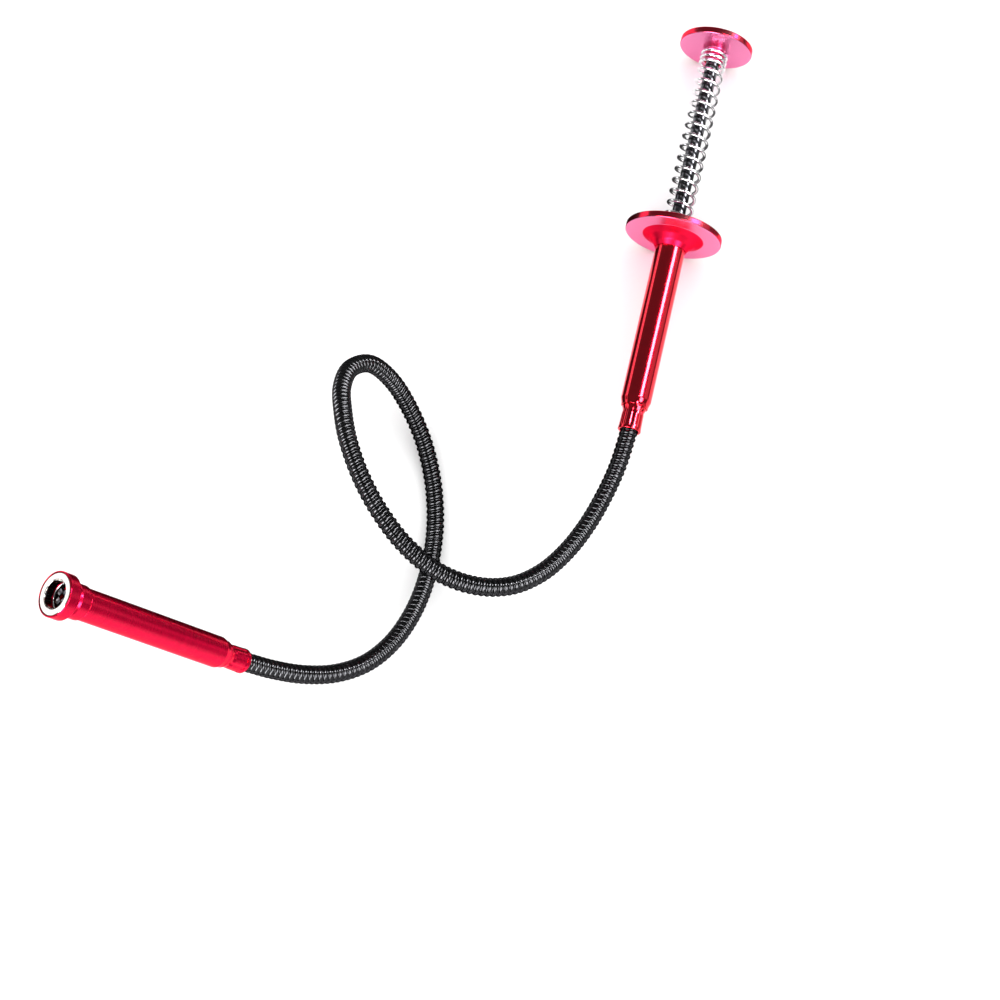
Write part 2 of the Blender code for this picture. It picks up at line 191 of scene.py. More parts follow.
class AugerSizes(bpy.types.PropertyGroup):
    """Sizes that a user may change without touching how the pieces fit."""

    neck_radius: bpy.props.FloatProperty(
        name="Gooseneck radius",
        description="Radius over the crests of the gooseneck's ribs",
        default=3.0 * MM,
        unit="LENGTH",
    )
    rib_pitch: bpy.props.FloatProperty(
        name="Rib pitch",
        description="Advance of the gooseneck's winding in one turn",
        default=2.0 * MM,
        unit="LENGTH",
    )
    rib_depth: bpy.props.FloatProperty(
        name="Rib depth",
        description="Height of the broad wire over the bottom of the groove beside it",
        default=0.55 * MM,
        unit="LENGTH",
    )
    handle_radius: bpy.props.FloatProperty(
        name="Handle radius",
        description="Outside radius of the handle's tube",
        default=5.05 * MM,
        unit="LENGTH",
    )
    head_radius: bpy.props.FloatProperty(
        name="Head radius",
        description="Outside radius of the head's tube",
        default=4.75 * MM,
        unit="LENGTH",
    )
    ferrule_radius: bpy.props.FloatProperty(
        name="Ferrule radius",
        description="Outside radius of the crimped ferrules",
        default=3.75 * MM,
        unit="LENGTH",
    )
    flange_radius: bpy.props.FloatProperty(
        name="Finger rest radius",
        description="Outside radius of the disc that two fingers pull on",
        default=16.35 * MM,
        unit="LENGTH",
    )
    disc_radius: bpy.props.FloatProperty(
        name="Thumb rest radius",
        description="Outside radius of the plunger's disc",
        default=12.5 * MM,
        unit="LENGTH",
    )
    wire_radius: bpy.props.FloatProperty(
        name="Spring wire radius",
        description="Radius of the return spring's wire",
        default=0.54 * MM,
        unit="LENGTH",
    )
    strip_width: bpy.props.FloatProperty(
        name="Claw width",
        description="Width of the spring strip that each claw is bent from",
        default=1.6 * MM,
        unit="LENGTH",
    )
    strip_thickness: bpy.props.FloatProperty(
        name="Claw thickness",
        description="Thickness of the spring strip",
        default=0.4 * MM,
        unit="LENGTH",
    )


class AugerColours(bpy.types.PropertyGroup):
    """Base colours of the finishes."""

    anodising: bpy.props.FloatVectorProperty(
        name="Anodising",
        description="Dye of the anodised aluminium",
        subtype="COLOR",
        default=(0.74, 0.003, 0.036),
        min=0.0,
        max=1.0,
    )
    # The pale pink of both rests' faces is painted light: a painted reflection of the bright floor in their
    # flat faces.
    rest_face_reflection: bpy.props.FloatVectorProperty(
        name="Rest faces",
        description="Colour of the pale sealed faces of both rests",
        subtype="COLOR",
        default=(0.80, 0.07, 0.35),
        min=0.0,
        max=1.0,
    )
    coating: bpy.props.FloatVectorProperty(
        name="Gooseneck plating",
        description="Black chrome of the gooseneck",
        subtype="COLOR",
        default=(0.05, 0.05, 0.053),
        min=0.0,
        max=1.0,
    )
    plating: bpy.props.FloatVectorProperty(
        name="Magnet plating",
        description="Nickel plating of the ring magnet",
        subtype="COLOR",
        default=(0.80, 0.79, 0.76),
        min=0.0,
        max=1.0,
    )
    bluing: bpy.props.FloatVectorProperty(
        name="Claw bluing",
        description="Heat colour of the claws' spring steel",
        subtype="COLOR",
        default=(0.075, 0.075, 0.10),
        min=0.0,
        max=1.0,
    )
    floor: bpy.props.FloatVectorProperty(
        name="Floor",
        description="Paint of the studio floor",
        subtype="COLOR",
        default=(0.86, 0.86, 0.86),
        min=0.0,
        max=1.0,
    )


def placement_at(origin, direction):
    """A placement with local +Z along direction."""
    turn = direction.to_track_quat("Z", "Y").to_matrix().to_4x4()
    return Matrix.Translation(origin) @ turn


HANDLE = placement_at(Vector(ROUTE[0]), THUMB_POINT - Vector(ROUTE[0]))
HEAD = placement_at(Vector(ROUTE[-1]), FACE_POINT - Vector(ROUTE[-1]))
FACE = (FACE_POINT - Vector(ROUTE[-1])).length


# Shader nodes


class Socket:
    """A node's output, which Python's operators join with Math nodes."""

    def __init__(self, finish, output):
        self.finish = finish
        self.output = output

    def joined(self, operation, first, second):
        settings = {"operation": operation}
        return self.finish.node("ShaderNodeMath", settings, {0: first, 1: second})["Value"]

    def __add__(self, other):
        return self.joined("ADD", self, other)

    def __radd__(self, other):
        return self.joined("ADD", other, self)

    def __sub__(self, other):
        return self.joined("SUBTRACT", self, other)

    def __rsub__(self, other):
        return self.joined("SUBTRACT", other, self)

    def __mul__(self, other):
        return self.joined("MULTIPLY", self, other)

    def __rmul__(self, other):
        return self.joined("MULTIPLY", other, self)

    def __pow__(self, other):
        return self.joined("POWER", self, other)


class Finish:
    """One material and the nodes behind its Principled shader."""

    def __init__(self, name):
        self.material = bpy.data.materials.new(name)
        self.material.use_nodes = True
        self.tree = self.material.node_tree
        self.shader = self.tree.nodes["Principled BSDF"]

    def node(self, kind, settings=None, inputs=None):
        """Adds a node: its settings first, then the values or links of its sockets."""
        made = self.tree.nodes.new(kind)
        for key, value in (settings or {}).items():
            if key == "stops":
                self.set_stops(made.color_ramp, value)
            else:
                setattr(made, key, value)
        for key, value in (inputs or {}).items():
            self.feed(self.pick(made.inputs, key), value)
        return {output.identifier: Socket(self, output) for output in made.outputs}

    def set_stops(self, ramp, stops):
        """Places a colour ramp's stops, given as (position, value)."""
        while len(ramp.elements) < len(stops):
            ramp.elements.new(1.0)
        for element, (position, value) in zip(ramp.elements, stops):
            element.position = position
            element.color = (value, value, value, 1.0)

    def pick(self, sockets, key):
        """A socket by its number, identifier or name."""
        if isinstance(key, int):
            return sockets[key]
        found = [socket for socket in sockets if socket.identifier == key]
        return found[0] if found else sockets[key]

    def feed(self, socket, value):
        """Links a socket or sets its value."""
        if isinstance(value, Socket):
            self.tree.links.new(value.output, socket)
        elif socket.type == "RGBA" and len(value) == 3:
            socket.default_value = (*value, 1.0)
        else:
            socket.default_value = value

    def surface(self, **inputs):
        """Feeds the Principled shader. Names take _ for a space."""
        for key, value in inputs.items():
            self.feed(self.pick(self.shader.inputs, key.replace("_", " ")), value)

    def blend(self, factor, first, second):
        """A mix of two colours."""
        sockets = {"Factor_Float": factor, "A_Color": first, "B_Color": second}
        return self.node("ShaderNodeMix", {"data_type": "RGBA"}, sockets)["Result_Color"]

    def place(self):
        """The piece's own coordinates as one vector and three numbers."""
        vector = self.node("ShaderNodeTexCoord")["Object"]
        parts = self.node("ShaderNodeSeparateXYZ", None, {"Vector": vector})
        return vector, parts["X"], parts["Y"], parts["Z"]

    def noise(self, vector, scale, detail=3.0):
        sockets = {"Vector": vector, "Scale": scale, "Detail": detail}
        return self.node("ShaderNodeTexNoise", None, sockets)["Fac"]

    def line_noise(self, along, scale, detail=3.0):
        """Noise that changes along one number only."""
        sockets = {"W": along, "Scale": scale, "Detail": detail}
        return self.node("ShaderNodeTexNoise", {"noise_dimensions": "1D"}, sockets)["Fac"]

    def ramp(self, value, *stops):
        return self.node("ShaderNodeValToRGB", {"stops": stops}, {"Fac": value})["Color"]

    def bump(self, height, distance, strength=1.0):
        sockets = {"Height": height, "Distance": distance, "Strength": strength}
        self.surface(Normal=self.node("ShaderNodeBump", None, sockets)["Normal"])


def shaded(colour, share):
    """A colour scaled towards black or up to white."""
    return tuple(min(1.0, channel * share) for channel in colour)


def turned_rings(finish):
    """A number that grows along a turned piece's side and across its faces."""
    vector, x, y, z = finish.place()
    return vector, z + (x * x + y * y) ** 0.5


def rest_red(colours, name, inner, outer, under):
    """A rest's anodising: a deep red rim and foot, and faces painted pale pink as a painted reflection of
    the bright floor.

    The foot is what lies within inner of the axis and below the height under. The
    rim starts at outer.
    """
    finish = Finish(name)
    _, x, y, z = finish.place()
    reach = (x * x + y * y) ** 0.5
    blur = 0.1 * MM
    across = reach * (1.0 / RAMP_REACH)
    along = z * (1.0 / RAMP_HEIGHT)
    rim_stops = (((outer - 2 * blur) / RAMP_REACH, 0.0), ((outer - blur) / RAMP_REACH, 1.0))
    rim = finish.ramp(across, *rim_stops)
    outside = finish.ramp(across, ((inner - blur) / RAMP_REACH, 0.0), ((inner + blur) / RAMP_REACH, 1.0))
    above = finish.ramp(along, ((under + blur) / RAMP_HEIGHT, 0.0), ((under + 4 * blur) / RAMP_HEIGHT, 1.0))
    # face masks the rests' flat faces, which take the pale painted reflection of the floor instead of the
    # deep dye.
    face = (1.0 - (1.0 - outside) * (1.0 - above)) * (1.0 - rim)
    fine = finish.line_noise(z + reach, 5200.0, 4.0)
    dye = Vector(colours.anodising)
    deep = finish.blend(fine, shaded(dye, 0.9), shaded(dye, 1.1))
    finish.surface(
        Base_Color=finish.blend(face, deep, tuple(colours.rest_face_reflection)),
        Metallic=1.0,
        Roughness=0.3 + fine * 0.08 - rim * 0.2,
        Specular_Tint=(1.0, 0.25, 0.45, 1.0),
        Coat_Weight=face * 0.9 + rim * 0.1 + 0.02,
        Coat_Roughness=0.3,
        Coat_IOR=2.6,
    )
    finish.bump(fine, 3e-6, 0.2)
    return finish.material


def anodised(colours, name, polish, lines, seal, painted_lift=1.0, blue=1.0):
    """Dyed anodised aluminium over turning lines, under the clear seal of the anodising.

    polish is its least roughness and lines how far the turning lines roughen it. seal
    is the clear layer's weight, index and roughness. painted_lift scales the dye, which
    above 1 is painted light, a brighter copy of the anodising; blue scales its blue.
    """
    finish = Finish(name)
    vector, along = turned_rings(finish)
    fine = finish.line_noise(along, 5200.0, 4.0)
    broad = finish.line_noise(along, 420.0, 2.0)
    haze = finish.noise(vector, 160.0, 4.0)
    dye = Vector(colours.anodising) * painted_lift
    dye.z *= blue
    weight, index, seal_roughness = seal
    depth = fine * 0.5 + broad * 0.5
    finish.surface(
        Base_Color=finish.blend(depth, shaded(dye, 0.82), shaded(dye, 1.16)),
        Metallic=1.0,
        Roughness=polish + fine * lines + haze * 0.05,
        Specular_Tint=(1.0, 0.25, 0.45, 1.0),
        Coat_Weight=weight,
        Coat_Roughness=seal_roughness,
        Coat_IOR=index,
    )
    finish.bump(fine, 3e-6, lines * 3.0)
    return finish.material


def black_chrome(colours):
    """The gooseneck's black chrome, rubbed a little brighter in places."""
    finish = Finish("black_chrome")
    vector, _, _, _ = finish.place()
    rub = finish.ramp(finish.noise(vector, 240.0, 5.0), (0.52, 0.0), (0.78, 1.0))
    grain = finish.noise(vector, 2600.0, 3.0)
    coat = Vector(colours.coating)
    finish.surface(
        Base_Color=finish.blend(rub, tuple(coat), shaded(coat, 1.5)),
        Metallic=1.0,
        Roughness=0.12 + rub * 0.08 + grain * 0.05,
        Specular_Tint=(0.12, 0.12, 0.12, 1.0),
    )
    finish.bump(grain, 2e-6, 0.1)
    return finish.material


def plated(name, colour, roughness, grain_scale, grain_depth, edge=1.0):
    """A bright plated or polished metal with a fine grain and faint cloudy patches.

    edge is how much of the light it mirrors where it turns away.
    """
    finish = Finish(name)
    vector, _, _, _ = finish.place()
    grain = finish.noise(vector, grain_scale, 3.0)
    cloud = finish.noise(vector, 90.0, 4.0)
    finish.surface(
        Base_Color=finish.blend(cloud, shaded(colour, 0.9), shaded(colour, 1.06)),
        Metallic=1.0,
        Roughness=roughness + grain * 0.08 + cloud * 0.05,
        Specular_Tint=(edge, edge, edge, 1.0),
    )
    finish.bump(grain, 2e-6, grain_depth)
    return finish.material


def turned_metal(name, colour, roughness):
    """Bare metal with turning lines."""
    finish = Finish(name)
    _, along = turned_rings(finish)
    fine = finish.line_noise(along, 4800.0, 4.0)
    finish.surface(
        Base_Color=finish.blend(fine, shaded(colour, 0.8), shaded(colour, 1.12)),
        Metallic=1.0,
        Roughness=roughness + fine * 0.14,
    )
    finish.bump(fine, 3e-6, 0.4)
    return finish.material


def blued(colours):
    """Blued spring steel, with rolling lines and a drift from blue to straw grey."""
    finish = Finish("blued_spring_steel")
    vector, _, _, _ = finish.place()
    grain = finish.noise(vector, 3800.0, 3.0)
    drift = finish.ramp(finish.noise(vector, 130.0, 3.0), (0.35, 0.0), (0.7, 1.0))
    tint = Vector(colours.bluing)
    straw = (tint.x * 1.35, tint.x * 1.25, tint.x * 1.15)
    finish.surface(
        Base_Color=finish.blend(drift, tuple(tint), straw),
        Metallic=1.0,
        Roughness=0.26 + grain * 0.14,
        Coat_Weight=0.25,
        Coat_Roughness=0.2,
    )
    finish.bump(grain, 3e-6, 0.3)
    return finish.material


def rope_wire(colour):
    """The lay of the pull cable's strands."""
    finish = Finish("wire_rope")
    vector, _, _, _ = finish.place()
    lay = finish.noise(vector, 1500.0, 2.0)
    finish.surface(
        Base_Color=finish.blend(lay, shaded(colour, 0.6), shaded(colour, 1.1)),
        Metallic=1.0,
        Roughness=0.3 + lay * 0.2,
    )
    finish.bump(lay, 3e-5, 0.6)
    return finish.material


def floor_paint(colours):
    finish = Finish("floor_paint")
    vector, _, _, _ = finish.place()
    mottle = finish.noise(vector, 3.0, 2.0)
    paint = Vector(colours.floor)
    finish.surface(
        Base_Color=finish.blend(mottle, shaded(paint, 0.995), shaded(paint, 1.005)),
        Roughness=0.75,
    )
    return finish.material


FINISHES = {
    # The handle's dye is lifted by a tenth over the head's: painted light, a brighter copy of the anodising
    # that lifts the shaded reflection band on its tube.
    "handle_red": lambda colours: anodised(
        colours, "handle_red", 0.07, 0.05, (0.6, 1.55, 0.05), painted_lift=1.1, blue=0.6
    ),
    "flange_red": lambda colours: rest_red(
        colours, "flange_red", CONE_R, FLANGE_EDGE_R, FLANGE_UNDER
    ),
    "disc_red": lambda colours: rest_red(
        colours, "disc_red", HUB_R, DISC_EDGE_R, DISC_UNDER
    ),
    "head_red": lambda colours: anodised(
        colours, "head_red", 0.16, 0.14, (0.2, 1.5, 0.1), blue=1.25
    ),
    "black_chrome": black_chrome,
    # The spring's chrome gets a near-black base colour: painted shade, standing in for the dark
    # surroundings that its bright plated wire mirrors.
    "spring_chrome": lambda _: plated(
        "spring_chrome", (0.04, 0.04, 0.042), 0.06, 2200.0, 0.1, edge=0.05
    ),
    "rod_steel": lambda _: turned_metal("rod_steel", (0.11, 0.11, 0.12), 0.12),
    "magnet_nickel": lambda colours: plated(
        "magnet_nickel", tuple(colours.plating), 0.12, 1800.0, 0.2
    ),
    "washer_steel": lambda _: turned_metal("washer_steel", (0.60, 0.60, 0.61), 0.16),
    "blued_spring_steel": blued,
    "inner_steel": lambda _: turned_metal("inner_steel", (0.42, 0.42, 0.43), 0.28),
    "bush_brass": lambda _: turned_metal("bush_brass", (0.62, 0.45, 0.18), 0.24),
    "wire_rope": lambda _: rope_wire((0.42, 0.42, 0.43)),
    "floor_paint": floor_paint,
}


def finish_of(context, name):
    """A finish by name, made the first time that it is asked for."""
    made = bpy.data.materials.get(name)
    return made or FINISHES[name](context.scene.auger_colours)


# Meshes


def add_piece(name, shape, placement, material):
    """Turns a bmesh into a named object, facing out and shaded smooth."""
    bmesh.ops.remove_doubles(shape, verts=shape.verts, dist=1e-7)
    bmesh.ops.recalc_face_normals(shape, faces=shape.faces)
    mesh = bpy.data.meshes.new(name)
    shape.to_mesh(mesh)
    shape.free()
    mesh.materials.append(material)
    mesh.shade_smooth()
    mesh.set_sharp_from_angle(angle=math.radians(50))
    piece = bpy.data.objects.new(name, mesh)
    piece.matrix_world = placement
    bpy.context.scene.collection.objects.link(piece)
    return piece


def fit(piece, body, slot, *nodes):
    """Sets a piece on its body in place of the plain nodes it stands for."""
    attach(piece, body)
    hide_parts(*nodes)


def rounded(outline):
    """A closed outline of (radius, height, fillet) points with its corners rounded."""
    points = []
    for i, (radius, height, fillet) in enumerate(outline):
        corner = Vector((radius, height))
        if fillet == 0:
            points.append(corner)
            continue
        back = (Vector(outline[i - 1][:2]) - corner).normalized()
        ahead = (Vector(outline[(i + 1) % len(outline)][:2]) - corner).normalized()
        half = back.angle(ahead) / 2
        middle = corner + (back + ahead).normalized() * fillet / math.sin(half)
        start = corner + back * fillet / math.tan(half) - middle
        end = corner + ahead * fillet / math.tan(half) - middle
        for step in range(EDGE_STEPS + 1):
            share = step / EDGE_STEPS
            spoke = start.lerp(end, share)
            points.append(middle + spoke.normalized() * fillet)
    return points


def guarded(points):
    """Adds a point close to each end of a long side, so that it shades flat."""
    result = []
    for i, point in enumerate(points):
        ahead = points[(i + 1) % len(points)]
        side = ahead - point
        result.append(point)
        if side.length > 6 * EDGE_GUARD:
            step = side.normalized() * EDGE_GUARD
            result += [point + step, ahead - step]
    return result


def turned_shape(outline, steps=ROUND_STEPS):
    """Spins an outline round local Z."""
    shape = bmesh.new()
    points = [shape.verts.new((p.x, 0, p.y)) for p in guarded(rounded(outline))]
    edges = [shape.edges.new((points[i - 1], points[i])) for i in range(len(points))]
    bmesh.ops.spin(
        shape,
        geom=points + edges,
        cent=(0, 0, 0),
        axis=(0, 0, 1),
        angle=FULL_TURN,
        steps=steps,
        use_merge=True,
    )
    return shape


def turned(name, outline, placement, material):
    return add_piece(name, turned_shape(outline), placement, material)


def smooth_points(points, steps):
    """Points on a smooth curve through the given ones."""
    ends = [2 * points[0] - points[1]] + list(points) + [2 * points[-1] - points[-2]]
    result = []
    for a, b, c, d in zip(ends, ends[1:], ends[2:], ends[3:]):
        for step in range(steps):
            t = step / steps
            even = 2 * b + (c - a) * t
            odd = (2 * a - 5 * b + 4 * c - d) * t * t + (3 * b - a - 3 * c + d) * t**3
            result.append((even + odd) / 2)
    result.append(points[-1])
    return result


class Line:
    """A smooth line through space that can be read at any length, with a frame that barely turns."""

    def __init__(self, points):
        self.points = points
        self.lengths = [0.0]
        for first, second in zip(points, points[1:]):
            self.lengths.append(self.lengths[-1] + (second - first).length)
        self.normals = []
        normal = Vector((0, 0, 1))
        for i in range(len(points)):
            ahead = points[min(i + 1, len(points) - 1)]
            behind = points[max(i - 1, 0)]
            tangent = (ahead - behind).normalized()
            normal = (normal - tangent * normal.dot(tangent)).normalized()
            self.normals.append((normal, tangent.cross(normal)))

    def at(self, length):
        """The point and its normal and binormal at a length from the start."""
        length = min(max(length, 0.0), self.lengths[-1])
        i = min(bisect.bisect_right(self.lengths, length) - 1, len(self.points) - 2)
        share = (length - self.lengths[i]) / (self.lengths[i + 1] - self.lengths[i])
        point = self.points[i].lerp(self.points[i + 1], share)
        pairs = zip(self.normals[i], self.normals[i + 1])
        across, up = (a.lerp(b, share).normalized() for a, b in pairs)
        return point, across, up


def swept_bar(points, section):
    """A closed bar along the points. section gives the rim at one point from its frame."""
    shape = bmesh.new()
    line = Line(points)
    rings = []
    for point, (across, up) in zip(points, line.normals):
        rings.append([shape.verts.new(point + across * x + up * y) for x, y in section])
    for first, second in zip(rings, rings[1:]):
        for k in range(len(section)):
            shape.faces.new((first[k - 1], first[k], second[k], second[k - 1]))
    shape.faces.new(rings[0])
    shape.faces.new(rings[-1])
    return shape


def circle(radius, sides):
    angles = [FULL_TURN * k / sides for k in range(sides)]
    return [(radius * math.cos(a), radius * math.sin(a)) for a in angles]


def rib_outline(radius, depth):
    """(share of the pitch, radius) over one turn: the broad round wire, then the narrow wedge."""
    broad_share, broad_steps = 0.68, 7
    narrow_rise, narrow_steps = 0.42 * depth, 4
    floor = radius - depth
    outline = []
    for step in range(broad_steps):
        angle = math.pi * step / broad_steps
        share = broad_share * (1 - math.cos(angle)) / 2
        outline.append((share, floor + depth * math.sin(angle)))
    for step in range(narrow_steps):
        angle = math.pi * step / narrow_steps
        share = broad_share + (1 - broad_share) * step / narrow_steps
        outline.append((share, floor + narrow_rise * math.sin(angle)))
    return outline


def wound_shape(line, radius, pitch, depth):
    """The gooseneck's skin: one outline wound round the line, each turn joined to the next."""
    around = 26
    outline = rib_outline(radius, depth)
    turns = math.ceil(line.lengths[-1] / pitch) + 1
    count = turns * around + 1
    shape = bmesh.new()
    rows = []
    for i in range(count + around):
        angle = FULL_TURN * i / around
        row = []
        for share, reach in outline:
            point, across, up = line.at(pitch * (i / around - 1 + share))
            spoke = across * math.cos(angle) + up * math.sin(angle)
            row.append(shape.verts.new(point + spoke * reach))
        rows.append(row)
    for i in range(count - 1):
        for j in range(len(outline)):
            if j + 1 < len(outline):
                side = (rows[i][j + 1], rows[i + 1][j + 1])
            else:
                side = (rows[i + around][0], rows[i + 1 + around][0])
            shape.faces.new((rows[i][j], rows[i + 1][j], side[1], side[0]))
    bmesh.ops.remove_doubles(shape, verts=shape.verts, dist=1e-6)
    bmesh.ops.dissolve_degenerate(shape, dist=1e-7, edges=shape.edges)
    loose = [vertex for vertex in shape.verts if not vertex.link_faces]
    bmesh.ops.delete(shape, geom=loose, context="VERTS")
    bmesh.ops.holes_fill(shape, edges=shape.edges, sides=0)
    return shape


# Pieces


class AUGER_OT_gooseneck(bpy.types.Operator):
    """Winds the ribbed gooseneck along its route"""

    bl_idname = "auger.gooseneck"
    bl_label = "Gooseneck"

    def execute(self, context):
        sizes = context.scene.auger_sizes
        route = [HANDLE @ Vector((0, 0, SEAT))]
        route += smooth_points([Vector(p) for p in ROUTE], ROUTE_STEPS)
        route.append(HEAD @ Vector((0, 0, SEAT)))
        shape = wound_shape(Line(route), sizes.neck_radius, sizes.rib_pitch, sizes.rib_depth)
        material = finish_of(context, "black_chrome")
        piece = add_piece("gooseneck_winding", shape, Matrix.Identity(4), material)
        fit(piece, "root", "black_gooseneck", "gooseneck")
        return {"FINISHED"}


def ferrule_shape(sizes):
    """A sleeve swaged on the gooseneck: a flared lip, eight crimped flats and a waist."""
    radius = sizes.ferrule_radius
    lip, waist = 1.1 * MM, 7.3 * MM
    plug = TUBE_BORE_R - 0.08 * MM
    flats, flat_depth = 8, 0.26 * MM
    shape = turned_shape(
        (
            (FERRULE_BORE_R, 0, 0.12 * MM),
            (radius + 0.1 * MM, 0, 0.25 * MM),
            (radius + 0.05 * MM, lip, 0),
            (radius, lip + 0.6 * MM, 0),
            (radius - 0.1 * MM, waist - 1.6 * MM, 0),
            (radius - 0.25 * MM, waist - 0.5 * MM, 0.2 * MM),
            (plug, TUBE_FOOT - 0.3 * MM, 0.15 * MM),
            (plug, FERRULE_TOP, 0),
            (CABLE_HOLE_R, FERRULE_TOP, 0),
            (CABLE_HOLE_R, SEAT + GAP, 0),
            (FERRULE_BORE_R, SEAT + GAP, 0),
        )
    )
    for vertex in shape.verts:
        reach = math.hypot(vertex.co.x, vertex.co.y)
        if reach > FERRULE_BORE_R + 0.2 * MM and lip < vertex.co.z < waist:
            angle = math.atan2(vertex.co.y, vertex.co.x)
            dent = flat_depth * max(0.0, math.cos(flats * angle)) ** 0.7
            vertex.co.xy *= 1 - dent / reach
    return shape


class AUGER_OT_ferrules(bpy.types.Operator):
    """Builds both crimped ferrules"""

    bl_idname = "auger.ferrules"
    bl_label = "Ferrules"

    def execute(self, context):
        sizes = context.scene.auger_sizes
        for end, placement in (("handle", HANDLE), ("head", HEAD)):
            material = finish_of(context, f"{end}_red")
            piece = add_piece(f"{end}_crimp_sleeve", ferrule_shape(sizes), placement, material)
            fit(piece, "root", "red_anodised", f"{end}_ferrule")
        return {"FINISHED"}


def tube_foot(radius):
    """The outline of a tube's tapered foot, from its bore out to its side."""
    return (
        (TUBE_BORE_R, TUBE_FOOT, 0),
        (radius - 0.6 * MM, TUBE_FOOT, 0.1 * MM),
        (radius - 0.5 * MM, TUBE_FOOT + 0.9 * MM, 0.8 * MM),
        (radius, TUBE_FOOT + 2.5 * MM, 1.2 * MM),
    )


class AUGER_OT_handle(bpy.types.Operator):
    """Builds the handle's tube and its finger rest"""

    bl_idname = "auger.handle"
    bl_label = "Handle"

    def execute(self, context):
        sizes = context.scene.auger_sizes
        radius = sizes.handle_radius
        outline = (
            *tube_foot(radius),
            (radius, HANDLE_TUBE_TOP, 0),
            (TUBE_BORE_R, HANDLE_TUBE_TOP, 0),
        )
        piece = turned("handle_barrel", outline, HANDLE, finish_of(context, "handle_red"))
        fit(piece, "root", "red_anodised", "handle_tube")

        rim = sizes.flange_radius
        seat = radius + 0.1 * MM
        hole = ROD_R + 0.6 * MM
        outline = (
            (seat, CONE_FOOT, 0),
            (seat + 0.12 * MM, CONE_FOOT, 0),
            (6.2 * MM, CONE_FOOT + 1.6 * MM, 1.6 * MM),
            (8.0 * MM, CONE_FOOT + 3.2 * MM, 2.4 * MM),
            (10.5 * MM, FLANGE_UNDER, 0.4 * MM),
            (rim, FLANGE_UNDER, 0.42 * MM),
            (rim, FLANGE_TOP, 0.42 * MM),
            (hole, FLANGE_TOP, 0.15 * MM),
            (hole, HANDLE_TUBE_TOP + GAP, 0),
            (seat, HANDLE_TUBE_TOP + GAP, 0),
        )
        piece = turned("finger_rest", outline, HANDLE, finish_of(context, "flange_red"))
        fit(piece, "root", "red_anodised", "finger_flange")
        return {"FINISHED"}


class AUGER_OT_plunger(bpy.types.Operator):
    """Builds the push rod and the thumb rest"""

    bl_idname = "auger.plunger"
    bl_label = "Plunger"

    def execute(self, context):
        sizes = context.scene.auger_sizes
        outline = (
            (0, ROD_BORE_TOP, 0),
            (ROD_BORE_R, ROD_BORE_TOP, 0),
            (ROD_BORE_R, ROD_FOOT, 0),
            (ROD_R, ROD_FOOT, 0.3 * MM),
            (ROD_R, ROD_TOP, 0.1 * MM),
            (0, ROD_TOP, 0),
        )
        rod = turned("push_rod", outline, HANDLE, finish_of(context, "rod_steel"))
        fit(rod, "plunger", "dark_rod", "plunger_rod")

        rim = sizes.disc_radius
        socket = ROD_R + 0.15 * MM
        dish = 0.25 * MM
        outline = (
            (0, DISC_UNDER - MM, 0),
            (socket, DISC_UNDER - MM, 0),
            (socket, HUB_FOOT, 0.1 * MM),
            (HUB_R, HUB_FOOT, 0.3 * MM),
            (HUB_R, DISC_UNDER, 0.35 * MM),
            (rim, DISC_UNDER, 0.45 * MM),
            (rim, DISC_TOP, 0.45 * MM),
            (rim - 2.2 * MM, DISC_TOP, 0.4 * MM),
            (rim - 2.8 * MM, DISC_TOP - dish, 0.4 * MM),
            (0, DISC_TOP - dish, 0),
        )
        thumb = turned("thumb_rest", outline, HANDLE, finish_of(context, "disc_red"))
        fit(thumb, "plunger", "red_anodised", "thumb_disc")
        return {"FINISHED"}


class AUGER_OT_spring(bpy.types.Operator):
    """Coils the left-hand return spring between the finger rest and the thumb rest"""

    bl_idname = "auger.spring"
    bl_label = "Return spring"

    def execute(self, context):
        wire = context.scene.auger_sizes.wire_radius
        foot_turns, open_turns, top_turns = 1.0, 14.5, 3.0
        foot_pitch, top_pitch = 1.25 * MM, 1.9 * MM
        clearance = 0.1 * MM
        foot = FLANGE_TOP + wire + clearance
        length = DISC_UNDER - wire - clearance - foot
        open_pitch = (length - foot_pitch * foot_turns - top_pitch * top_turns) / open_turns
        steps_per_turn, wire_sides = 30, 12
        turns = foot_turns + open_turns + top_turns
        points = []
        for step in range(int(turns * steps_per_turn) + 1):
            turn = step / steps_per_turn
            height = foot + foot_pitch * min(turn, foot_turns)
            height += open_pitch * min(max(turn - foot_turns, 0), open_turns)
            height += top_pitch * max(turn - foot_turns - open_turns, 0)
            angle = -FULL_TURN * turn
            points.append(Vector((COIL_R * math.cos(angle), COIL_R * math.sin(angle), height)))
        shape = swept_bar(points, circle(wire, wire_sides))
        coil = add_piece("return_coil", shape, HANDLE, finish_of(context, "spring_chrome"))
        fit(coil, "root", "spring_chrome", "return_spring")
        anchor = HANDLE @ Vector((0, 0, FLANGE_TOP))
        tuple(HANDLE.to_3x3() @ Vector((0, 0, 1)))
        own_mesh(coil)
        return {"FINISHED"}


